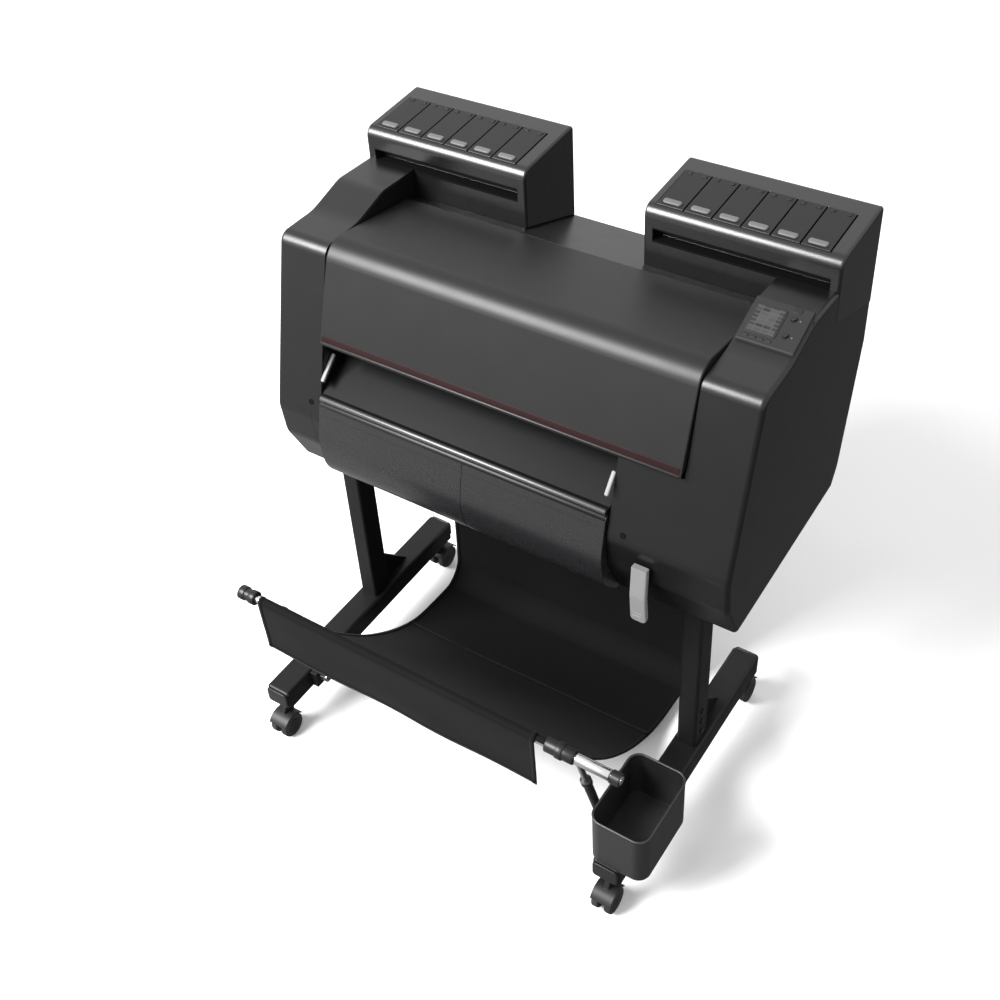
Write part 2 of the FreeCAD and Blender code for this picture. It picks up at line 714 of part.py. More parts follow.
def caster(label, sign, y, turn):
    """A twin-wheel caster; turn is the side, along Y, that the wheels trail to."""
    x = f"{sign} * foot_middle"
    axle_y = f"{y} + {turn} * caster_trail"
    stem = rod("z", (x, y, "foot_low - 16"), "15.7", "20")
    web = prism(f"{x} - fork_half", f"{x} + fork_half", [
        (f"{y} - {turn} * 16", "foot_low - 16"),
        (f"{y} + {turn} * 18", "foot_low - 16"),
        (f"{axle_y} + {turn} * 14", "wheel_radius + 12"),
        (f"{axle_y} + {turn} * 10", "wheel_radius - 10"),
        (f"{axle_y} - {turn} * 10", "wheel_radius - 10"),
    ], "Web")
    hole = rod("x", (f"{x} - 10", axle_y, "wheel_radius"), "20", "axle_radius + slip")
    hood = hood_over(x, y, axle_y, turn)
    keep(cut(join([stem, web, hood], "ForkCase"), hole, "Fork"), label + "_fork")
    wheels = []
    for side in (-1, 1):
        start = f"{x} + {side} * wheel_offset - wheel_width / 2"
        wheel = rod("x", (start, axle_y, "wheel_radius"), "wheel_width", "wheel_radius")
        wheels.append(rounded(wheel, 3, lambda e: len(e.Vertexes) == 1))
    axle = rod("x", (f"{x} - wheel_offset", axle_y, "wheel_radius"), "2 * wheel_offset", "axle_radius")
    keep(join(wheels + [axle], "Wheels"), label + "_wheels")


def hood_over(x, y, axle_y, turn):
    """A curved guard over the two wheels."""
    half = "(wheel_offset + wheel_width / 2 + 1)"
    shell = rod("x", (f"{x} - {half}", axle_y, "wheel_radius"), f"2 * {half}", "wheel_radius + 5")
    space = rod("x", (f"{x} - {half} - 1", axle_y, "wheel_radius"), f"2 * {half} + 2", "wheel_radius + 2")
    low = block((f"{x} - 40", f"{x} + 40"), (f"{axle_y} - 50", f"{axle_y} + 50"),
                ("-10", "wheel_radius + 16"))
    return cut(cut(shell, space), low, "Hood")


def casters():
    for side, sign in SIDES:
        caster("front_" + side + "_caster", sign, "caster_front", "-1")
        caster("rear_" + side + "_caster", sign, "caster_back", "1")


def accessory_pocket():
    """An open bin on the right foot."""
    x = ("pocket_left", "pocket_right")
    y = ("pocket_front", "pocket_back")
    outer = rounded(block(x, y, ("pocket_low", "pocket_high")), "pocket_round",
                    lambda e: abs(e.tangentAt(0).z) > 0.9)
    inset = "pocket_wall"
    space = block((f"{x[0]} + {inset}", f"{x[1]} - {inset}"), (f"{y[0]} + {inset}", f"{y[1]} - {inset}"),
                  (f"pocket_low + {inset}", "pocket_high + 20"))
    inner = rounded(space, f"pocket_round - {inset}", lambda e: abs(e.tangentAt(0).z) > 0.9)
    keep(cut(outer, inner, "PocketBin"), "accessory_pocket")


# ---- basket -------------------------------------------------------------------------------

def sag(y):
    """Height of the basket cloth, a parabola from its lowest line up to the front rod."""
    rise = (value("rod_lift") - value("sag_low")) / (value("rod_front") - value("sag_back")) ** 2
    return value("sag_low") + rise * (y - value("sag_back")) ** 2


def sag_points(start, end, count):
    step = (end - start) / count
    return [FreeCAD.Vector(0, start + i * step, sag(start + i * step)) for i in range(count + 1)]


def cloth_solid(label, points):
    """A sheet of even thickness that follows a curve in the side view."""
    curve = Part.BSplineCurve()
    curve.interpolate(points)
    samples = [curve.value(curve.FirstParameter + i / 24 * (curve.LastParameter - curve.FirstParameter))
               for i in range(25)]
    half = value("cloth_thick") / 2
    upper, lower = [], []
    for i, point in enumerate(samples):
        ahead = samples[min(i + 1, 24)] - samples[max(i - 1, 0)]
        normal = FreeCAD.Vector(0, -ahead.z, ahead.y).normalize()
        upper.append(point + normal * half)
        lower.append(point - normal * half)
    edges = []
    for side in (upper, lower[::-1]):
        line = Part.BSplineCurve()
        line.interpolate(side)
        edges.append(line.toShape())
    ends = [Part.makeLine(upper[-1], lower[-1]), Part.makeLine(lower[0], upper[0])]
    face = Part.Face(Part.Wire([edges[0], ends[0], edges[1], ends[1]]))
    face.translate(FreeCAD.Vector(value("cloth_left"), 0, 0))
    item = doc.addObject("Part::Feature", "Cloth")
    item.Shape = face.extrude(FreeCAD.Vector(value("cloth_right") - value("cloth_left"), 0, 0))
    keep(item, label)


def basket_cloth():
    """The catch cloth: front strip, long sag near the floor, and the rise to the rear rod."""
    seam, low = value("seam_front"), value("sag_back")
    rod_y, radius = value("rod_front"), value("bend_radius")
    cloth_solid("basket_cloth_front", sag_points(rod_y + 11, seam - 1, 5))
    points = sag_points(seam, low, 7)
    middle = FreeCAD.Vector(0, low + 40, value("sag_low") + radius)
    for angle in (-70, -45, -20, 0):
        turn = math.radians(angle)
        points.append(middle + FreeCAD.Vector(0, math.cos(turn), math.sin(turn)) * radius)
    foot, top = points[-1], FreeCAD.Vector(0, value("rear_rod_back"), value("rear_rod_height") - 11)
    points += [foot + (top - foot) * (i / 4) for i in range(1, 5)]
    cloth_solid("basket_cloth", points)


def basket_frame():
    """The front rod on its two arms, the grips on it and the hanging flap."""
    bar = rod("x", ("rod_left_end", "rod_front", "rod_lift"), "rod_right_end - rod_left_end", "bar_radius")
    arms = []
    for side, sign in SIDES:
        arm = doc.addObject("Part::Cylinder", "Arm")
        reach = FreeCAD.Vector(0, value("rod_front - arm_pivot_front"), value("rod_lift - arm_pivot_height"))
        arm.Placement = FreeCAD.Placement(FreeCAD.Vector(), FreeCAD.Rotation(FreeCAD.Vector(0, 0, 1), reach))
        bind(arm, "Radius", "arm_radius")
        bind(arm, "Height", "sqrt((rod_front - arm_pivot_front)^2 + (rod_lift - arm_pivot_height)^2) - 3")
        place(arm, f"{sign} * arm_reach", "arm_pivot_front", "arm_pivot_height")
        eye = rod("x", (f"{sign} * arm_reach - 8", "arm_pivot_front", "arm_pivot_height"), "16", "10")
        hole = rod("x", (f"{sign} * arm_reach - 20", "arm_pivot_front", "arm_pivot_height"), "40",
                   "pin_radius + slip")
        arms.append(cut(join([arm, eye], "ArmEye"), hole, "ArmBored"))
    keep(join([bar] + arms, "BasketFrame"), "basket_frame")
    grips = []
    left_cap = ("rod_left_end + 4", "rod_left_end + 42")
    right_cap = ("rod_right_end - 20", "rod_right_end - 2")
    for x in (left_cap, ("300", "336"), right_cap):
        outer = rod("x", (x[0], "rod_front", "rod_lift"), f"({x[1]}) - ({x[0]})", "bar_radius + 5")
        bore = rod("x", (f"{x[0]} - 1", "rod_front", "rod_lift"), f"({x[1]}) - ({x[0]}) + 2", "bar_radius")
        grips.append(cut(outer, bore))
    keep(group(grips, "Grips"), "basket_clips")
    front = "rod_front - bar_radius"
    flap = block(("flap_left", "flap_right"), (f"{front} - cloth_thick", f"{front} - 0.2"),
                 ("flap_low", "rod_lift + 6"))
    keep(flap, "basket_flap")


def rear_rod():
    """The rod that holds the back of the cloth, hung from the cross stay by two bars."""
    reach = "hanger_reach + 12"
    pieces = [rod("x", (f"-({reach})", "rear_rod_back", "rear_rod_height"), f"2 * ({reach})", "bar_radius")]
    for side, sign in SIDES:
        x = f"{sign} * hanger_reach"
        pieces.append(prism(f"{x} - 5", f"{x} + 5", [
            ("stay_back", "stay_low + 3"),
            ("stay_back", "stay_high - 3"),
            ("rear_rod_back + 9", "rear_rod_height + 5"),
            ("rear_rod_back - 5", "rear_rod_height - 9"),
        ], "Hanger"))
    keep(join(pieces, "RearRod"), "basket_rear_rod")


def screws():
    """Cap screws on the outer faces of the posts and under the feet."""
    heads = []
    for side, sign in SIDES:
        outer = f"{sign} * (foot_middle + post_width / 2 + 1.5) - 1.5"
        for z in (170, 200, 230):
            heads.append(rod("x", (outer, "(post_front + post_back) / 2", z), "3", "6"))
        for y in (-240, -180, 60, 140):
            heads.append(rod("z", (f"{sign} * foot_middle", y, "foot_low - 3"), "3", "6"))
    keep(group(heads, "Screws"), "screws")


# ---- build, check and write ---------------------------------------------------------------

def build():
    left_side_housing()
    right_side_housing()
    rear_cover()
    ink_towers()
    base_pan()
    frame_plates()
    top_cover()
    roll_cover()
    release_lever()
    exit_guide()
    platen()
    feed_roller()
    carriage_rail()
    carriage()
    belt_drive()
    drive_motors()
    capping_station()
    roll_spool()
    electronics()
    control_panel()
    stand()
    casters()
    accessory_pocket()
    basket_cloth()
    basket_frame()
    rear_rod()
    screws()
    doc.recompute()


def check():
    for item in doc.Objects:
        if "Invalid" in item.State or "Error" in item.State:
            raise RuntimeError(item.Name + " failed: " + str(item.State))
    for item in parts:
        shape = item.Shape
        if shape.isNull() or not shape.isValid() or not shape.Solids:
            raise RuntimeError(item.Label + " has no valid solid")


def write():
    os.makedirs("parts", exist_ok=True)
    for item in parts:
        item.Shape.exportStep("parts/" + item.Label + ".step")
    print(len(parts), "sub-parts written")


build()
check()
write()
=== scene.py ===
import json
import math

import bmesh
import bpy
from mathutils import Matrix, Vector, noise


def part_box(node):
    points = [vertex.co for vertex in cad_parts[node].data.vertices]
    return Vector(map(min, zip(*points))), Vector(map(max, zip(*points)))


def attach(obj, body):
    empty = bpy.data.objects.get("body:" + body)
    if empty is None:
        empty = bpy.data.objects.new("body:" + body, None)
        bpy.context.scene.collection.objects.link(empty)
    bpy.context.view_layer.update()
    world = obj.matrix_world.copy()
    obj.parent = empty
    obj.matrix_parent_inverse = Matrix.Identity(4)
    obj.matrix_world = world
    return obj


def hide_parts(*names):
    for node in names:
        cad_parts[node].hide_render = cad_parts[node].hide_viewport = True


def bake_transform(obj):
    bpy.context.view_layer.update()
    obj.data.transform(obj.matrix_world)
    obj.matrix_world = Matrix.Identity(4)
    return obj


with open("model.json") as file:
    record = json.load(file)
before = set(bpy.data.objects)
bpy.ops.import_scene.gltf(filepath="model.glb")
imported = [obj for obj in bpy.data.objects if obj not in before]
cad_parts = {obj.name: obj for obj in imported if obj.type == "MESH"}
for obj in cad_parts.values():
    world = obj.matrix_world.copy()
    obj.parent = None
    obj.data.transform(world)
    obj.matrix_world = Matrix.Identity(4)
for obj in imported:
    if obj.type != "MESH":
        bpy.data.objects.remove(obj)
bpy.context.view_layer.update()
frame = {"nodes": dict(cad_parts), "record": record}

# A roll-fed inkjet printer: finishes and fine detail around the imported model.
# Metres. +X is the operator's right, +Y the back, +Z up.

NODES = frame["nodes"]
MM = 0.001
THREADS = 900  # per metre of cloth, each way


# ---- camera, floor and light ---------------------------------------------------------------

def aim(azimuth, elevation, roll):
    """Rotation of a camera on that side of the object, turned by roll about its own axis."""
    a, e, r = (math.radians(v) for v in (azimuth, elevation, roll))
    back = Vector((math.sin(a) * math.cos(e), -math.cos(a) * math.cos(e), math.sin(e)))
    level = Vector((math.cos(a), math.sin(a), 0))
    upright = back.cross(level)
    right = level * math.cos(r) + upright * math.sin(r)
    up = upright * math.cos(r) - level * math.sin(r)
    return Matrix((right, up, back)).transposed().to_4x4()


def make_camera():
    """The view from the right front, above; the outline fills the frame."""
    data = bpy.data.cameras.new("Camera")
    data.lens, data.sensor_width = 48.755, 36
    data.shift_x, data.shift_y = -0.005, -0.0791
    data.clip_end = 100
    camera = bpy.data.objects.new("Camera", data)
    place = Matrix.Translation((1.1156, -1.613, 2.4099))
    camera.matrix_world = place @ aim(35.6, 39.78, -3.79)
    bpy.context.scene.collection.objects.link(camera)
    bpy.context.scene.camera = camera


def softbox(name, place, target, width, height, power):
    """A rectangular lamp turned towards a point."""
    data = bpy.data.lights.new(name, "AREA")
    data.shape, data.size, data.size_y, data.energy = "RECTANGLE", width, height, power
    lamp = bpy.data.objects.new(name, data)
    lamp.location = place
    lamp.rotation_mode = "QUATERNION"
    lamp.rotation_quaternion = (Vector(target) - Vector(place)).to_track_quat("-Z", "Y")
    lamp.visible_camera = False
    bpy.context.scene.collection.objects.link(lamp)


def map_range(tree, value, start, end, low, high):
    """Maps a number in the surroundings' node tree to another range."""
    made = tree.nodes.new("ShaderNodeMapRange")
    tree.links.new(value, made.inputs["Value"])
    for index, setting in enumerate((start, end, low, high), start=1):
        made.inputs[index].default_value = setting
    return made.outputs["Result"]


def make_studio():
    """Pale surroundings, darker below the horizon to the right, and two soft boxes."""
    world = bpy.data.worlds.new("Studio")
    world.use_nodes = True
    tree = world.node_tree
    back = tree.nodes["Background"]
    back.inputs["Color"].default_value = (1, 1, 1, 1)
    ways = tree.nodes.new("ShaderNodeSeparateXYZ")
    tree.links.new(tree.nodes.new("ShaderNodeTexCoord").outputs["Generated"], ways.inputs[0])
    below = map_range(tree, ways.outputs["X"], -0.6, 0.05, 0.6, 0.12)
    above = map_range(tree, ways.outputs["Z"], -0.12, -0.03, 0.0, 1.0)
    mix = tree.nodes.new("ShaderNodeMix")
    tree.links.new(above, mix.inputs[0])
    tree.links.new(below, mix.inputs[2])
    mix.inputs[3].default_value = 0.95
    tree.links.new(mix.outputs[0], back.inputs["Strength"])
    bpy.context.scene.world = world
    bpy.context.scene.view_settings.view_transform = "Standard"
    softbox("Overhead", (-2.1, 3.0, 3.9), (0, 0.1, 0.9), 4.0, 3.0, 13)
    softbox("Key", (-2.1, -3.0, 3.6), (0, 0, 0.9), 2.6, 2.3, 640)


# ---- node materials ------------------------------------------------------------------------

class Finish:
    """A procedural material on one Principled shader, with short calls for its nodes."""

    def __init__(self, name, **sockets):
        self.material = bpy.data.materials.new(name)
        self.material.use_nodes = True
        self.tree = self.material.node_tree
        self.shader = self.tree.nodes["Principled BSDF"]
        for socket, setting in sockets.items():
            self.shader.inputs[socket.replace("_", " ")].default_value = setting
        self.where = self.tree.nodes.new("ShaderNodeTexCoord").outputs["Object"]

    def node(self, kind, **inputs):
        """A shader node with its inputs fed by name."""
        made = self.tree.nodes.new("ShaderNode" + kind)
        for name, setting in inputs.items():
            self.feed(made.inputs[name.replace("_", " ")], setting)
        return made

    def feed(self, socket, setting):
        """Links a socket to an output, or sets it to a plain value."""
        if isinstance(setting, bpy.types.NodeSocket):
            self.tree.links.new(setting, socket)
        else:
            socket.default_value = setting

    def stretch(self, scale):
        """Coordinates scaled differently on each axis, for streaks and threads."""
        return self.node("Mapping", Vector=self.where, Scale=scale).outputs["Vector"]

    def noise(self, cells_per_metre, detail=2.0, where=None):
        """Noise at a real scale."""
        made = self.node("TexNoise", Vector=where or self.where, Scale=cells_per_metre, Detail=detail)
        return made.outputs["Fac"]

    def spread(self, fac, low, high, start=0.3, end=0.7):
        """Maps a factor to a range of numbers."""
        made = self.node("MapRange", Value=fac)
        for index, setting in enumerate((start, end, low, high), start=1):
            made.inputs[index].default_value = setting
        return made.outputs["Result"]

    def math(self, kind, a, b=0.0):
        """One arithmetic node."""
        made = self.tree.nodes.new("ShaderNodeMath")
        made.operation = kind
        self.feed(made.inputs[0], a)
        self.feed(made.inputs[1], b)
        return made.outputs[0]

    def mix(self, fac, a, b):
        """Blends two colours."""
        made = self.tree.nodes.new("ShaderNodeMix")
        made.data_type = "RGBA"
        for socket, setting in ((made.inputs["Factor"], fac), (made.inputs[6], a), (made.inputs[7], b)):
            self.feed(socket, setting)
        return made.outputs[2]

    def bump(self, height, strength, distance, normal=None):
        """A surface normal from a height, on top of another normal if one is given."""
        made = self.node("Bump", Height=height, Strength=strength, Distance=distance)
        if normal is not None:
            self.feed(made.inputs["Normal"], normal)
        return made.outputs["Normal"]

    def edges(self, radius):
        """Softened normals near sharp edges, and a factor that is high on those edges."""
        soft = self.node("Bevel", Radius=radius)
        soft.samples = 4
        flat = self.tree.nodes.new("ShaderNodeNewGeometry").outputs["Normal"]
        dot = self.tree.nodes.new("ShaderNodeVectorMath")
        dot.operation = "DOT_PRODUCT"
        self.feed(dot.inputs[0], soft.outputs[0])
        self.feed(dot.inputs[1], flat)
        worn = self.spread(dot.outputs["Value"], 1.0, 0.0, start=0.75, end=0.995)
        return soft.outputs[0], worn

    def set(self, **links):
        """Feeds the shader's own inputs by name."""
        for name, setting in links.items():
            self.feed(self.shader.inputs[name.replace("_", " ")], setting)
        return self


def grey(level, tint=(1, 1, 1)):
    """A colour from one level of brightness and a tint."""
    return (*(level * t for t in tint), 1)


def moulded(name, level, rough, grain=1400, depth=0.1, tint=(1, 1, 1), wear=1.6, gloss=0.3):
    """Moulded plastic: spark-eroded grain, faint mottling, edges polished by handling."""
    f = Finish(name, Specular_IOR_Level=gloss)
    normal, worn = f.edges(1.6 * MM)
    mottle = f.noise(9, 4)
    fine = f.noise(grain, 2)
    colour = f.mix(f.spread(mottle, 0, 1), grey(level * 0.96, tint), grey(level * 1.05, tint))
    scuff = f.math("MULTIPLY", worn, f.spread(f.noise(60, 3), 0.2, 1))
    colour = f.mix(scuff, colour, grey(level * wear, tint))
    patch = f.spread(f.noise(22, 5), rough - 0.01, rough + 0.015)
    rough_out = f.math("ADD", patch, f.spread(fine, -0.03, 0.03))
    return f.set(Base_Color=colour, Roughness=rough_out, Normal=f.bump(fine, depth, 0.3 * MM, normal))


def metal(name, level, rough, streaks, **sockets):
    """Rolled or drawn metal: fine streaks along one axis, faint handling marks."""
    f = Finish(name, Metallic=1.0, **sockets)
    normal, _ = f.edges(0.8 * MM)
    grain = f.noise(1, 2, f.stretch(streaks))
    colour = f.mix(f.spread(grain, 0, 1), grey(level * 0.92), grey(level * 1.05))
    handled = f.spread(f.noise(30, 4), rough * 0.8, rough * 1.3)
    rough_out = f.math("ADD", handled, f.spread(grain, 0, rough * 0.3))
    return f.set(Base_Color=colour, Roughness=rough_out, Normal=f.bump(grain, 0.05, 0.1 * MM, normal))


def painted(name, level, rough):
    """Powder coat: orange-peel surface, slightly brighter where edges have rubbed."""
    f = Finish(name, Specular_IOR_Level=0.25)
    normal, worn = f.edges(1.8 * MM)
    peel = f.noise(520, 2)
    speck = f.noise(2600, 1)
    colour = f.mix(f.spread(f.noise(14, 4), 0, 1), grey(level * 0.85), grey(level * 1.15))
    colour = f.mix(f.math("MULTIPLY", worn, f.spread(f.noise(45, 4), 0, 0.9)), colour, grey(level * 3))
    patch = f.spread(f.noise(18, 4), rough - 0.05, rough + 0.07)
    rough_out = f.math("ADD", f.spread(speck, -0.04, 0.04), patch)
    return f.set(Base_Color=colour, Roughness=rough_out, Normal=f.bump(peel, 0.16, 0.4 * MM, normal))


def woven(name, level):
    """Plain-weave polyester: crossing threads, soft sheen, faint dust and creases."""
    f = Finish(name, Sheen_Weight=0.03, Sheen_Roughness=0.45, Specular_IOR_Level=0.1)
    uv = f.tree.nodes.new("ShaderNodeTexCoord").outputs["UV"]
    waves = []
    for direction in ("X", "Y"):
        wave = f.node("TexWave", Vector=uv, Scale=THREADS / 6.3, Distortion=1.2, Detail=1.0)
        wave.bands_direction = direction
        waves.append(wave.outputs["Fac"])
    weave = f.math("ADD", waves[0], waves[1])
    crease = f.noise(26, 5)
    dust = f.spread(f.noise(7, 6), 0, 1, 0.35, 0.75)
    colour = f.mix(dust, grey(level * 0.85), grey(level * 1.25))
    colour = f.mix(f.spread(weave, 0, 0.5, 0.2, 1.8), colour, grey(level * 1.9))
    normal = f.bump(crease, 0.12, 4 * MM)
    normal = f.bump(weave, 0.35, 0.3 * MM, normal)
    return f.set(Base_Color=colour, Roughness=f.spread(weave, 0.72, 0.9, 0.2, 1.8), Normal=normal)


def glass(name, level, rough):
    """A display window with faint smears over a grid of dark, unlit fields."""
    f = Finish(name, Coat_Weight=0.25, Coat_Roughness=0.2)
    smear = f.noise(40, 5, f.stretch((1, 2.5, 1)))
    fields = f.node("TexBrick", Vector=f.where, Scale=34.0, Mortar_Size=0.035, Bias=-0.2,
                    Color1=grey(level * 0.1), Color2=grey(level * 1.1), Mortar=grey(level, (0.97, 1, 1.03)))
    fields.offset = 0
    return f.set(Base_Color=fields.outputs["Color"], Roughness=f.spread(smear, rough, rough * 2.2),
                 Normal=f.bump(smear, 0.02, 0.2 * MM))


def circuit(name):
    """Green laminate with paler copper runs under the mask."""
    f = Finish(name)
    runs = f.node("TexBrick", Vector=f.where, Scale=60.0, Mortar_Size=0.012).outputs["Fac"]
    colour = f.mix(runs, (0.008, 0.07, 0.03, 1), (0.03, 0.16, 0.07, 1))
    return f.set(Base_Color=colour, Roughness=f.spread(f.noise(200), 0.3, 0.5),
                 Normal=f.bump(runs, 0.2, 0.1 * MM))


def rubber(name, level):
    """Tread rubber: dusty patches and a fine, dull surface."""
    f = Finish(name, Specular_IOR_Level=0.3)
    normal, _ = f.edges(1.2 * MM)
    dust = f.spread(f.noise(38, 6), 0, 1, 0.4, 0.75)
    colour = f.mix(dust, grey(level), grey(level * 2.2, (1.05, 1, 0.94)))
    return f.set(Base_Color=colour, Roughness=f.spread(f.noise(120, 4), 0.6, 0.82),
                 Normal=f.bump(f.noise(900, 2), 0.12, 0.3 * MM, normal))


def make_finishes():
    """Every material of the model, by slot and by the extra names that pieces ask for."""
    finishes = {
        "casing": moulded("Casing", 0.004, 0.33, gloss=0.5),
        "cover": moulded("Cover", 0.008, 0.41, grain=1900, depth=0.06, gloss=0.32),
        "gloss_cover": moulded("Smoked_cover", 0.009, 0.28, grain=500, depth=0.02,
                               tint=(0.97, 0.98, 1.06), gloss=0.85),
        "tower": moulded("Tower", 0.005, 0.29, gloss=0.62),
        "lid": moulded("Lid", 0.006, 0.4, gloss=0.3),
        "stand_paint": painted("Stand_paint", 0.0045, 0.42),
        "steel": metal("Sheet_steel", 0.55, 0.32, (400, 12, 400)),
        "engine_plastic": moulded("Engine_plastic", 0.03, 0.5),
        "pale_plastic": moulded("Pale_plastic", 0.14, 0.4, wear=1.1),
        "ink": moulded("Ink_tank", 0.05, 0.35),
        "board": circuit("Circuit_board"),
        "belt": rubber("Belt_rubber", 0.02),
        "panel": moulded("Panel", 0.02, 0.45, grain=2200, gloss=0.15),
        "guide": moulded("Exit_guide", 0.003, 0.36, gloss=0.1),
        "screen": glass("Display", 0.03, 0.3),
        "key": moulded("Key", 0.07, 0.35, grain=2200),
        "inlet": moulded("Inlet", 0.012, 0.4),
        "bin": moulded("Bin", 0.012, 0.4, gloss=0.7),
        "fork": moulded("Caster_fork", 0.012, 0.45),
        "wheel": rubber("Wheel_rubber", 0.014),
        "chrome_rod": metal("Chrome", 0.78, 0.14, (30, 900, 900)),
        "grip": moulded("Clip", 0.01, 0.35),
        "cloth": woven("Basket_cloth", 0.002),
        # Lid tabs: pale grey, partly a painted highlight on their ridges; also the panel's lamp dots.
        "tab": moulded("Lid_tab", 0.1, 0.42),
        "accent": moulded("Accent_strip", 0.007, 0.5, tint=(1.8, 0.5, 0.55), gloss=0.15),
        # Painted highlight: pale strips at the ends of the paper opening, standing for highlights on the end
        # edges.
        "light_guide": moulded("Light_guide", 0.16, 0.4, wear=1.1),
        "plug": moulded("Plug", 0.003, 0.5),
        "seam": moulded("Seam", 0.004, 0.6),
        "gloss": moulded("Gloss_trim", 0.03, 0.36, grain=500, depth=0.01, gloss=0.85),
        "label": moulded("Blank_label", 0.6, 0.45, grain=3000, depth=0.02, wear=1.0),
        "fixing": metal("Zinc_screw", 0.32, 0.35, (900, 900, 900)),
        "vent": moulded("Vent", 0.006, 0.5),
        # Near-black and nearly unreflective: painted shade in the ink slots and holder holes, and the dark
        # hatch seam.
        "shade": moulded("Painted_shade_and_dark_seam", 0.003, 0.7, gloss=0.05),
        "button": moulded("Button", 0.012, 0.4, grain=2200),
    }
    return {slot: finish.material for slot, finish in finishes.items()}


def paint(item, material):
    """Gives an object one material."""
    item.data.materials.clear()
    item.data.materials.append(material)


# ---- mesh helpers --------------------------------------------------------------------------

def piece(name, points, faces, slot, body, finish=None, smooth=True):
    """A mesh in the model's own frame that rides on a body, painted with its finish or else with its slot's
    material.
    """
    mesh = bpy.data.meshes.new(name)
    mesh.from_pydata([tuple(p) for p in points], [], faces)
    shell = bmesh.new()
    shell.from_mesh(mesh)
    bmesh.ops.recalc_face_normals(shell, faces=shell.faces)
    shell.to_mesh(mesh)
    shell.free()
    mesh.polygons.foreach_set("use_smooth", [smooth] * len(mesh.polygons))
    mesh.update()
    item = bpy.data.objects.new(name, mesh)
    bpy.context.scene.collection.objects.link(item)
    paint(item, FINISH[finish or slot])
    if body:
        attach(item, body)
    return item


def rounded_outline(half_u, half_v, corner, steps=6):
    """Points round a rectangle with rounded corners, centred on zero."""
    points = []
    for quarter, (su, sv) in enumerate(((1, 1), (-1, 1), (-1, -1), (1, -1))):
        for i in range(steps + 1):
            angle = math.radians(90 * (quarter + i / steps))
            points.append((su * (half_u - corner) + corner * math.cos(angle),
                           sv * (half_v - corner) + corner * math.sin(angle)))
    return points


def local(origin, u, v):
    """Axes on a surface: u and v lie in it and the third stands on it."""
    u = Vector(u).normalized()
    n = u.cross(Vector(v)).normalized()
    turn = Matrix((u, n.cross(u), n)).transposed().to_4x4()
    return Matrix.Translation(origin) @ turn


def loft(rings):
    """Points and faces of a closed solid through rings with the same number of points."""
    count = len(rings[0])
    points = [p for ring in rings for p in ring]
    faces = []
    for level in range(len(rings) - 1):
        for i in range(count):
            a, b = level * count + i, level * count + (i + 1) % count
            faces.append((a, b, b + count, a + count))
    faces.append(tuple(range(count))[::-1])
    faces.append(tuple(range((len(rings) - 1) * count, len(rings) * count)))
    return points, faces


def boss(name, place, size, corner, height, slot, body, finish=None, crown=0.25, sink=0.5 * MM):
    """A raised pad with a rounded outline, softened rim and slightly crowned top."""
    half_u, half_v = size[0] / 2, size[1] / 2
    rim = min(height * 0.45, corner * 0.6)
    levels = [(0, -sink), (0, height - rim)]
    levels += [(rim * (1 - math.cos(a)), height - rim + rim * math.sin(a))
               for a in (math.radians(d) for d in (30, 60, 90))]
    reach = min(half_u, half_v) - rim
    levels += [(rim + reach * s, height + crown * MM * s) for s in (0.35, 0.7)]
    rings = []
    for shrink, z in levels:
        outline = rounded_outline(half_u - shrink, half_v - shrink, max(corner - shrink, 0.2 * MM))
        rings.append([place @ Vector((u, v, z)) for u, v in outline])
    return piece(name, *loft(rings), slot, body, finish)


def grid(name, rows, slot, body, uv):
    """A sheet through rows of points, with texture coordinates in metres."""
    across = len(rows[0])
    points = [p for row in rows for p in row]
    faces = [(r * across + c, r * across + c + 1, (r + 1) * across + c + 1, (r + 1) * across + c)
             for r in range(len(rows) - 1) for c in range(across - 1)]
    item = piece(name, points, faces, slot, body)
    layer = item.data.uv_layers.new(name="UVMap")
    flat = [value for row in uv for value in row]
    for loop in item.data.loops:
        layer.data[loop.index].uv = flat[loop.vertex_index]
    return item


def turned(name, start, end, profile, slot, body, finish=None, sides=28):
    """A turned solid round the line from start to end: pairs of distance and radius along it."""
    start, axis = Vector(start), (Vector(end) - Vector(start)).normalized()
    u = axis.orthogonal().normalized()
    v = axis.cross(u)
    rings = []
    for distance, radius in profile:
        angles = (2 * math.pi * i / sides for i in range(sides))
        rings.append([start + axis * distance + (u * math.cos(a) + v * math.sin(a)) * radius for a in angles])
    return piece(name, *loft(rings), slot, body, finish)


def sleeve(name, start, end, radius, slot, body, finish=None, rim=1.2 * MM):
    """A tube's outer shape with rounded ends."""
    length = (Vector(end) - Vector(start)).length
    profile = [(0, radius - rim), (rim * 0.3, radius - rim * 0.3), (rim, radius)]
    profile += [(length - d, r) for d, r in reversed(profile)]
    return turned(name, start, end, profile, slot, body, finish)


def rounded_line(corners, radii):
    """A polyline in the side view whose inner corners are rounded."""
    points = [corners[0]]
    for before, corner, after, radius in zip(corners, corners[1:], corners[2:], radii):
        turn = (corner - before).angle(after - corner)
        reach = radius * math.tan(turn / 2)
        a = corner + (before - corner).normalized() * reach
        b = corner + (after - corner).normalized() * reach
        for i in range(7):
            t = i / 6
            points.append(a * (1 - t) ** 2 + corner * 2 * t * (1 - t) + b * t ** 2)
    return points + [corners[-1]]


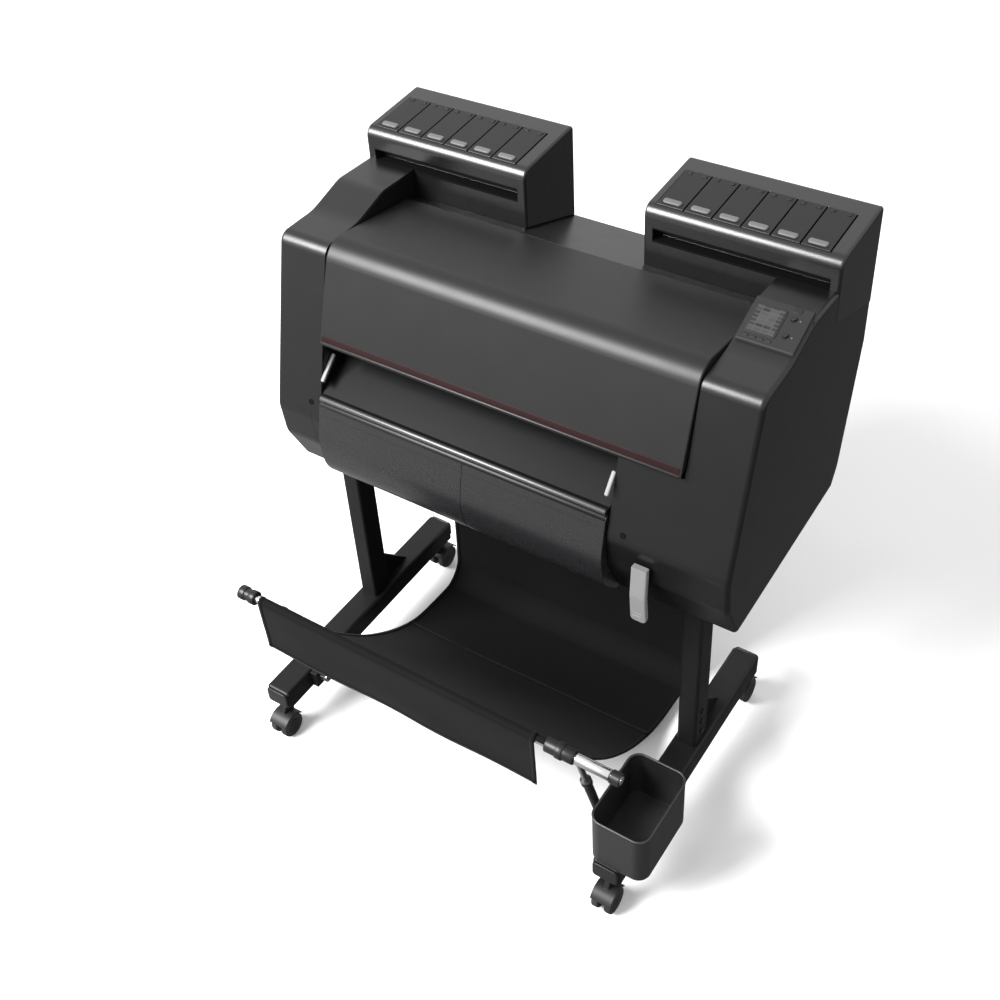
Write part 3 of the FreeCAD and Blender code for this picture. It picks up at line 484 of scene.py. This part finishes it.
def ribbon(name, x, width, line, lift, slot, body, finish=None):
    """A strip that follows a line in the side view and stands a little off it."""
    rings = []
    for i, p in enumerate(line):
        ahead = line[min(i + 1, len(line) - 1)] - line[max(i - 1, 0)]
        out = Vector((0, ahead.z, -ahead.y)).normalized()
        if out.y > 0:
            out = -out
        low, high = p - out * 0.4 * MM, p + out * lift
        ring = []
        for point, offset in ((low, -width / 2), (high, -width / 2), (high, width / 2), (low, width / 2)):
            ring.append(Vector((x + offset, point.y, point.z)))
        rings.append(ring)
    return piece(name, *loft(rings), slot, body, finish, smooth=False)


def slab(name, x, outline, slot, body, finish=None):
    """A flat plate between two values of x, with an outline in the side view."""
    rings = [[Vector((at, y, z)) for y, z in outline] for at in x]
    return piece(name, *loft(rings), slot, body, finish, smooth=False)


# ---- cloth basket --------------------------------------------------------------------------

def smooth_line(points, steps):
    """Points along a Catmull-Rom curve through the given points, evenly spaced in length."""
    ends = [points[0] * 2 - points[1], *points, points[-1] * 2 - points[-2]]
    dense = []
    for i in range(len(points) - 1):
        a, b, c, d = ends[i:i + 4]
        for k in range(24):
            t = k / 24
            dense.append(0.5 * (2 * b + (c - a) * t + (2 * a - 5 * b + 4 * c - d) * t * t
                                + (3 * b - a - 3 * c + d) * t ** 3))
    dense.append(points[-1])
    lengths = [0.0]
    for p, q in zip(dense, dense[1:]):
        lengths.append(lengths[-1] + (q - p).length)
    total, even, j = lengths[-1], [], 0
    for i in range(steps + 1):
        target = total * i / steps
        while j < len(lengths) - 2 and lengths[j + 1] < target:
            j += 1
        share = (target - lengths[j]) / max(lengths[j + 1] - lengths[j], 1e-9)
        even.append(dense[j].lerp(dense[j + 1], min(share, 1)))
    return even, total


def arc(centre, radius, start, end, count):
    """Points on an arc in the side view; angles from +Y towards +Z, in degrees."""
    return [centre + Vector((0, math.cos(a), math.sin(a))) * radius
            for a in (math.radians(start + (end - start) * i / count) for i in range(count + 1))]


def make_hems(name, rows, uv, body, seam_row):
    """Folded hems along both sides of a sheet and a sewn seam across it."""
    last = len(rows[0]) - 1
    strips = {
        "left_hem": ([row[:2] for row in rows], [row[:2] for row in uv]),
        "right_hem": ([row[last - 1:] for row in rows], [row[last - 1:] for row in uv]),
        "seam": (rows[seam_row:seam_row + 3], uv[seam_row:seam_row + 3]),
    }
    hems = []
    for label, (points, where) in strips.items():
        hem = grid(f"{name}_{label}", points, "cloth", body, where)
        thick = hem.modifiers.new("Thickness", "SOLIDIFY")
        thick.thickness, thick.offset = 2.6 * MM, 0
        hems.append(hem)
    return hems


def make_basket():
    """The catch cloth between its two rods and the flap over the front rod."""
    bar = 8 * MM
    low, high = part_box("basket_frame")
    rod = Vector((0, low.y + bar, high.z - bar))
    low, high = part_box("basket_rear_rod")
    rear = Vector((0, high.y - 9 * MM, low.z + 9 * MM))
    low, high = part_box("basket_cloth")
    left, right, floor = low.x, high.x, low.z + 2 * MM
    bottom = Vector((0, 85 * MM, floor))

    line = arc(rod, bar + 1.4 * MM, 150, 20, 5)
    for share in (0.96, 0.85, 0.7, 0.55, 0.4, 0.26, 0.13):
        y = bottom.y + (rod.y - bottom.y) * share
        line.append(Vector((0, y, floor + (rod.z - floor) * share ** 2)))
    bend = 62 * MM
    line += arc(bottom + Vector((0, 38 * MM, bend)), bend, -90, 0, 4)
    line.append(rear - Vector((0, 2 * MM, 130 * MM)))
    line += arc(rear, bar + 1.4 * MM, 180, 60, 5)
    middle, length = smooth_line(line, 150)

    def fold(x, s):
        """How far the cloth stands off its even curve: slack folds that fade at both rods."""
        hold = math.sin(math.pi * min(max(s, 0), 1)) ** 0.6
        slack = noise.noise(Vector((x * 3.1, s * 2.3, 4.0))) * 5 * MM
        small = noise.noise(Vector((x * 9 + s * 3, s * 9, 9.0))) * 1.6 * MM
        edge = (abs(2 * (x - left) / (right - left) - 1)) ** 6
        return hold * (slack + small + edge * 4 * MM)

    across = 72
    rows, uv = [], []
    for i, p in enumerate(middle):
        ahead = middle[min(i + 1, len(middle) - 1)] - middle[max(i - 1, 0)]
        normal = Vector((0, -ahead.z, ahead.y)).normalized()
        share = i / (len(middle) - 1)
        xs = [left + (right - left) * k / across for k in range(across + 1)]
        rows.append([Vector((x, p.y, p.z)) + normal * fold(x, share) for x in xs])
        uv.append([(x, share * length) for x in xs])
    sheet = grid("Basket_sheet", rows, "cloth", None, uv)
    thick = sheet.modifiers.new("Thickness", "SOLIDIFY")
    thick.thickness, thick.offset = 1.0 * MM, 0
    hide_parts("basket_cloth", "basket_cloth_front")
    hems = make_hems("Basket", rows, uv, None, 75)
    for cloth in [sheet] + hems:
        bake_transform(cloth)

    low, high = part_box("basket_flap")
    drop = rod.z - low.z
    line = arc(rod, bar + 2.6 * MM, 60, 190, 6)
    face = rod.y - bar - 2.6 * MM
    line += [Vector((0, face + 0.5 * MM * k, rod.z - drop * k / 5)) for k in range(1, 6)]
    middle, length = smooth_line(line, 44)
    rows, uv = [], []
    for i, p in enumerate(middle):
        share = i / (len(middle) - 1)
        xs = [low.x + (high.x - low.x) * k / across for k in range(across + 1)]
        row = []
        for x in xs:
            hang = max(share - 0.2, 0)
            wave = math.sin(x * 21 + 0.6) * 1.8 * MM + noise.noise(Vector((x * 6, share * 2, 2.0))) * 3 * MM
            row.append(Vector((x, p.y - hang * wave, p.z)))
        rows.append(row)
        uv.append([(x, share * length) for x in xs])
    flap = grid("Basket_flap_sheet", rows, "cloth", "basket", uv)
    thick = flap.modifiers.new("Thickness", "SOLIDIFY")
    thick.thickness, thick.offset = 1.0 * MM, 0
    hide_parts("basket_flap")
    hems = make_hems("Flap", rows, uv, "basket", len(rows) - 4)


# ---- fine detail ---------------------------------------------------------------------------

def lid_slope():
    """The angle at which the ink lids rise to the back."""
    low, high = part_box("left_tank_lid_1")
    return math.atan2(high.z - low.z - 5 * MM, high.y - low.y)


def make_lid_tabs():
    """A finger tab along the front of every ink lid, painted pale partly as the highlight on its raised
    ridge.
    """
    slope = lid_slope()
    along = Vector((0, math.cos(slope), math.sin(slope)))
    for side in ("left", "right"):
        for number in range(1, 7):
            lid = f"{side}_tank_lid_{number}"
            low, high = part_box(lid)
            origin = Vector(((low.x + high.x) / 2, low.y, low.z + 5 * MM)) + along * 13 * MM
            place = local(origin, (1, 0, 0), along)
            # Partly a painted highlight: the tab's pale grey stands for the highlight on its raised ridge.
            boss(f"{side}_lid_tab_{number}", place, (36 * MM, 13 * MM), 5 * MM, 4 * MM, "lid", lid, "tab",
                 crown=0.6)
            hinge = Vector(((low.x + high.x) / 2, high.y, high.z)) - along * 7 * MM
            for offset in (-15, 15):
                place = local(hinge + Vector((offset * MM, 0, 0)), (1, 0, 0), along)
                boss(f"{side}_lid_hinge_{number}_{'left' if offset < 0 else 'right'}", place,
                     (10 * MM, 8 * MM), 2 * MM, 1.2 * MM, "lid", lid)


def front_line():
    """The side housings' front, from the nose down to the foot, in the side view."""
    corners = [(-95, 876), (-138, 715), (-131, 640), (-86, 545)]
    return [Vector((0, y * MM, z * MM)) for y, z in corners]


def plug(name, x, corner, share, reach):
    """A dark dished disc on the front, painted as the shade inside a round holder hole, part of the way from
    one corner of its line to the next.
    """
    line = front_line()
    a, b = line[corner], line[corner + 1]
    spot = a.lerp(b, share)
    place = local((x, spot.y, spot.z), (1, 0, 0), a - b)
    return boss(name, place, (reach, reach), reach / 2, 1.5 * MM, "casing", "root", "shade", crown=-0.6)


def make_opening():
    """The left cheek, pale strips at both ends painted as highlights, dark discs painted as the shade of
    holder holes, and the seams of the end blocks.
    """
    guide_low, guide_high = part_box("exit_guide")
    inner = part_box("left_side_housing")[1].x
    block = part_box("right_side_housing")[0].x
    line = front_line()
    skin = 3.4 * MM
    front = [(p.y + skin, p.z) for p in rounded_line(line, (60 * MM, 50 * MM))]
    cheek = [(y, z) for y, z in front if z > 0.56] + [(20 * MM, 0.56), (20 * MM, line[0].z)]
    slab("Left_cheek", (inner - 0.6 * MM, inner + 0.8 * MM), cheek, "casing", "root")
    upper = [(-40, 1030), (-40, 1046), (-14, 1062), (48, 1065), (134, 1091), (232, 1087), (232, 1030)]
    slab("Left_upper_cheek", (inner - 0.6 * MM, inner + 0.8 * MM), [(y * MM, z * MM) for y, z in upper],
         "casing", "root")
    # Painted highlight: pale strips stand for the highlights on the end edges of the opening.
    for side, x, top, low in (("left", inner + 5.5 * MM, (-76, 842), (-120, 802)),
                              ("right", block - 4 * MM, (-101, 843), (-131, 808))):
        top, low = Vector((x, top[0] * MM, top[1] * MM)), Vector((x, low[0] * MM, low[1] * MM))
        place = local((top + low) / 2, low - top, (1, 0, 0))
        boss(f"{side}_light_guide", place, ((low - top).length, 8 * MM), 3 * MM, 3 * MM, "pale_plastic",
             "root", "light_guide", sink=3 * MM)
    # Painted shade: dark discs stand for the shaded inside of the holder holes.
    plug("Left_painted_hole_shade", -412.6 * MM, 0, 0.8, 12 * MM)
    plug("Left_low_painted_hole_shade", -396 * MM, 2, 0.62, 9 * MM)
    plug("Right_painted_hole_shade", 293 * MM, 0, 0.9, 12 * MM)
    for side, x in (("left", -0.4126), ("right", 0.2933)):
        path = rounded_line([line[0].lerp(line[1], 0.88), *line[1:]], [60 * MM, 50 * MM])
        ribbon(f"{side}_block_seam", x, 0.9 * MM, path, 0.15 * MM, "casing", "root", "seam")
    lip = Vector((0, guide_low.y + 3 * MM, guide_low.z + 5 * MM))
    start, end = Vector((guide_low.x + 2 * MM, lip.y, lip.z)), Vector((guide_high.x - 2 * MM, lip.y, lip.z))
    sleeve("Guide_lip_trim", start, end, 5.5 * MM, "casing", "root", "gloss")


def make_cover_trim():
    """The rolled lower edge of the top cover, its accent strip and two bumpers."""
    low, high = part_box("top_cover")
    edge = Vector((0, low.y + 3 * MM, low.z + 3.5 * MM))
    side = 3 * MM
    sleeve("Cover_edge", (low.x + side, edge.y, edge.z), (high.x - side, edge.y, edge.z), 3.6 * MM,
           "cover", "top_cover")
    along = Vector((0, 65, 195)).normalized()
    strip = Vector((0, low.y, low.z)) + along * 12 * MM
    boss("Accent_strip", local(strip, (1, 0, 0), along), (high.x - low.x - 8 * MM, 17 * MM), 2 * MM, 0.4 * MM,
         "cover", "top_cover", "accent", crown=0)
    for label, x in (("left", low.x + 30 * MM), ("right", high.x - 30 * MM)):
        turned(f"{label}_bumper", (x, edge.y + 9 * MM, low.z + 6 * MM), (x, edge.y + 9 * MM, low.z - 2 * MM),
               [(0, 4 * MM), (5 * MM, 4 * MM), (6.5 * MM, 3 * MM)], "cover", "top_cover", "plug", sides=16)


def make_hatch_detail():
    """A seam down the middle of the roll hatch, a moulded line along it and a pull edge."""
    low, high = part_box("roll_cover")
    corners = [(-136, 760), (-156, 668), (-147, 598), (-102, 552)]
    line = rounded_line([Vector((0, y * MM, z * MM)) for y, z in corners], (150 * MM, 90 * MM))
    ribbon("Hatch_middle_seam", -45 * MM, 1.2 * MM, line, 0.3 * MM, "gloss_cover", "roll_cover", "shade")
    spot = line[0].lerp(line[1], 0.35)
    place = local(((low.x + high.x) / 2, spot.y, spot.z), (1, 0, 0), line[0] - line[1])
    boss("Hatch_line", place, (high.x - low.x - 24 * MM, 1.0 * MM), 0.4 * MM, 0.35 * MM, "gloss_cover",
         "roll_cover", "seam")
    bead = Vector((0, line[0].y + 4.5 * MM, line[0].z - 4.5 * MM))
    sleeve("Hatch_top_bead", (low.x + 3 * MM, bead.y, bead.z), (high.x - 3 * MM, bead.y, bead.z), 7 * MM,
           "gloss_cover", "roll_cover", "lid")
    edge = line[-1]
    inset, y = 14 * MM, edge.y + 2 * MM
    sleeve("Hatch_pull_edge", (low.x + inset, y, edge.z), (high.x - inset, y, edge.z), 3 * MM,
           "gloss_cover", "roll_cover")


def make_panel_detail():
    """A glossy frame round the display, small keys and two lamps, all without lettering."""
    low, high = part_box("panel_screen")
    rise = (high.z - low.z - 1.55 * MM) / (high.y - low.y)
    along = Vector((0, 1, rise)).normalized()

    def spot(x, y):
        return local((x, y, low.z - 0.05 * MM + (y - low.y) * rise), (1, 0, 0), along)

    middle = ((low.x + high.x) / 2, (low.y + high.y) / 2)
    boss("Display_frame", spot(*middle), (high.x - low.x + 8 * MM, high.y - low.y + 10 * MM), 4 * MM,
         1.0 * MM, "panel", "root")
    for number in range(4):
        x = low.x + (4 + number * 13.5) * MM
        boss(f"Menu_key_{number + 1}", spot(x, low.y - 9 * MM), (10 * MM, 5 * MM), 2 * MM, 1.2 * MM,
             "key", "root", "button")
    for button in ("power_button", "stop_button"):
        box_low, box_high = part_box(button)
        y = (box_low.y + box_high.y) / 2
        boss(f"{button}_lamp", spot(box_high.x + 7 * MM, y), (3 * MM, 3 * MM), 1.4 * MM, 0.8 * MM,
             "key", "root", "tab")
    boss("Pad_ring", spot(box_low.x + 4 * MM, y + 17 * MM), (16 * MM, 12 * MM), 5 * MM, 0.8 * MM,
         "key", "root", "button")


def make_slot_painted_shade():
    """Near-black strips painted as the shade on the floor of the slot under each row of ink lids."""
    for side in ("left", "right"):
        low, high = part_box(f"{side}_ink_tower")
        # Painted shade: almost unreflective strips where the lip's shadow falls; they also cover the slot
        # edge's bright line.
        corners = ((234.7, 1084.5), (234.7, 1087.6), (259, 1087.6), (259, 1086.5),
                   (236, 1086.5), (236, 1084.5))
        outline = [(y * MM, z * MM) for y, z in corners]
        slab(f"{side}_slot_painted_shade", (low.x + 18.5 * MM, high.x - 18.5 * MM), outline, "tower", "root", "shade")


def make_rod_fittings():
    """The cap, clip and bright sleeve on the front rod, and the sleeves over its arms."""
    low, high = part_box("basket_frame")
    y, z = low.y + 8 * MM, high.z - 8 * MM

    def on_rod(name, x0, x1, radius, finish):
        sleeve(name, (x0 * MM, y, z), (x1 * MM, y, z), radius * MM, "grip", "basket", finish, rim=1.6 * MM)

    on_rod("Rod_cap", -441, -425, 15, "grip")
    on_rod("Rod_cap_ring", -424, -416, 11, "chrome_rod")
    on_rod("Rod_cap_inner", -415, -400, 15, "grip")
    on_rod("Rod_clip", 283, 342, 14.5, "grip")
    on_rod("Rod_clip_ridge", 306, 320, 16.5, "grip")
    on_rod("Rod_sleeve", 344, 414, 11, "chrome_rod")
    for side, sign in (("left", -1), ("right", 1)):
        x = sign * 345 * MM
        foot, head = Vector((x, -300 * MM, 128 * MM)), Vector((x, y, z))
        sleeve(f"{side}_arm_sleeve", foot.lerp(head, 0.06), foot.lerp(head, 0.62), 9 * MM, "grip", "basket")
        sleeve(f"{side}_arm_collar", foot.lerp(head, 0.62), foot.lerp(head, 0.68), 11 * MM, "grip", "basket")


def make_back_detail():
    """Louvres, fixings and a blank label on the back cover."""
    bend, foot = Vector((0, 0.414, 0.880)), Vector((0, 0.360, 0.610))
    up = (bend - foot).normalized()

    def spot(x, height):
        p = foot.lerp(bend, height)
        return local((x, p.y, p.z), (-1, 0, 0), up)

    for group, centre in (("left", -170), ("right", 150)):
        for number in range(12):
            place = spot(centre * MM, 0.38 + number * 0.042)
            boss(f"{group}_louvre_{number + 1}", place, (120 * MM, 5 * MM), 2.4 * MM, 2 * MM,
                 "casing", "root", "vent", sink=0.2 * MM)
    for number, (x, height) in enumerate([(x, h) for x in (-370, -120, 120, 370) for h in (0.08, 0.94)], 1):
        place = spot(x * MM, height)
        out = (place.to_3x3() @ Vector((0, 0, 1)))
        base = place.translation
        turned(f"Back_screw_{number}", base - out * 0.5 * MM, base + out * 3 * MM,
               [(0, 4.5 * MM), (1.6 * MM, 4.4 * MM), (2.6 * MM, 3.2 * MM), (3 * MM, 1.8 * MM)],
               "casing", "root", "fixing", sides=20)
    place = spot(330 * MM, 0.55)
    boss("Back_label", place, (70 * MM, 44 * MM), 3 * MM, 0.5 * MM, "casing", "root", "label", crown=0.05)


def make_stand_detail():
    """End caps of the feet and hub caps on the wheels."""
    low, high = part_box("feet")
    for side, sign in (("left", -1), ("right", 1)):
        x = sign * 404 * MM
        for end, y, turn in (("front", low.y, -1), ("rear", high.y, 1)):
            place = local((x, y, 118.5 * MM), (-turn, 0, 0), (0, 0, 1))
            boss(f"{side}_{end}_foot_cap", place, (54 * MM, 39 * MM), 8 * MM, 4 * MM,
                 "stand_paint", "root", "grip")
            caster = f"{end}_{side}_caster"
            box_low, box_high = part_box(caster + "_wheels")
            y_axle, radius = (box_low.y + box_high.y) / 2, (box_high.z - box_low.z) / 2
            for face, edge, out in (("inner", box_low.x, -1), ("outer", box_high.x, 1)):
                start = Vector((edge - out * 1.0 * MM, y_axle, radius))
                finish_at = start + Vector((out * 3 * MM, 0, 0))
                turned(f"{caster}_{face}_hub", start, finish_at,
                       [(0, 17 * MM), (1.6 * MM, 16.5 * MM), (2.2 * MM, 13 * MM), (1.8 * MM, 8 * MM),
                        (2.8 * MM, 5 * MM)],
                       "wheel", caster + "_wheels", "fork")


def make_bin_rim():
    """A rolled rim round the mouth of the accessory bin."""
    low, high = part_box("accessory_pocket")
    centre = (low + high) / 2
    half = (high - low) / 2
    radius = 2.4 * MM
    rings = []
    outline = rounded_outline(half.x - 1.6 * MM, half.y - 1.6 * MM, 24 * MM, steps=8)
    count = len(outline)
    for i, (u, v) in enumerate(outline):
        before, after = Vector(outline[i - 1]), Vector(outline[(i + 1) % count])
        out = Vector((after.y - before.y, before.x - after.x)).normalized()
        ring = []
        for k in range(8):
            a = 2 * math.pi * k / 8
            reach = radius * math.cos(a)
            ring.append(Vector((centre.x + u + out.x * reach, centre.y + v + out.y * reach,
                                high.z - 1.0 * MM + radius * math.sin(a))))
        rings.append(ring)
    points = [p for ring in rings for p in ring]
    faces = [(i * 8 + k, i * 8 + (k + 1) % 8, (i + 1) % count * 8 + (k + 1) % 8, (i + 1) % count * 8 + k)
             for i in range(count) for k in range(8)]
    piece("Bin_rim", points, faces, "bin", "root")


def make_lever_detail():
    """Grip ridges on the lever."""
    low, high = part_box("release_lever")
    middle = (low.x + high.x) / 2
    for number in range(3):
        place = local((middle, low.y + 4.2 * MM, low.z + (16 + 7 * number) * MM), (1, 0, 0), (0, 0, 1))
        boss(f"Lever_ridge_{number + 1}", place, (20 * MM, 3 * MM), 1.4 * MM, 1.6 * MM, "pale_plastic",
             "release_lever")


def make_floor():
    """A plain pale floor that the glossy parts don't mirror."""
    size = 80
    points = [(-size, -size, 0), (size, -size, 0), (size, size, 0), (-size, size, 0)]
    mesh = bpy.data.meshes.new("Floor")
    mesh.from_pydata(points, [], [(0, 1, 2, 3)])
    floor = bpy.data.objects.new("Floor", mesh)
    bpy.context.scene.collection.objects.link(floor)
    f = Finish("Floor", Roughness=0.7)
    tone = f.spread(f.noise(1.2, 3), 0, 1)
    f.set(Base_Color=f.mix(tone, grey(0.9), grey(0.93)))
    paint(floor, f.material)
    floor.visible_glossy = False


make_camera()
make_studio()
make_floor()
FINISH = make_finishes()
for part in frame["record"]["subparts"]:
    paint(NODES[part["node"]], FINISH[part["material_slot"]])
paint(NODES["exit_guide"], FINISH["guide"])
paint(NODES["screws"], FINISH["fork"])
for button in ("power_button", "stop_button"):
    paint(NODES[button], FINISH["button"])
make_basket()
make_lid_tabs()
make_opening()
make_cover_trim()
make_hatch_detail()
make_panel_detail()
make_slot_painted_shade()
make_rod_fittings()
make_back_detail()
make_stand_detail()
make_bin_rim()
make_lever_detail()
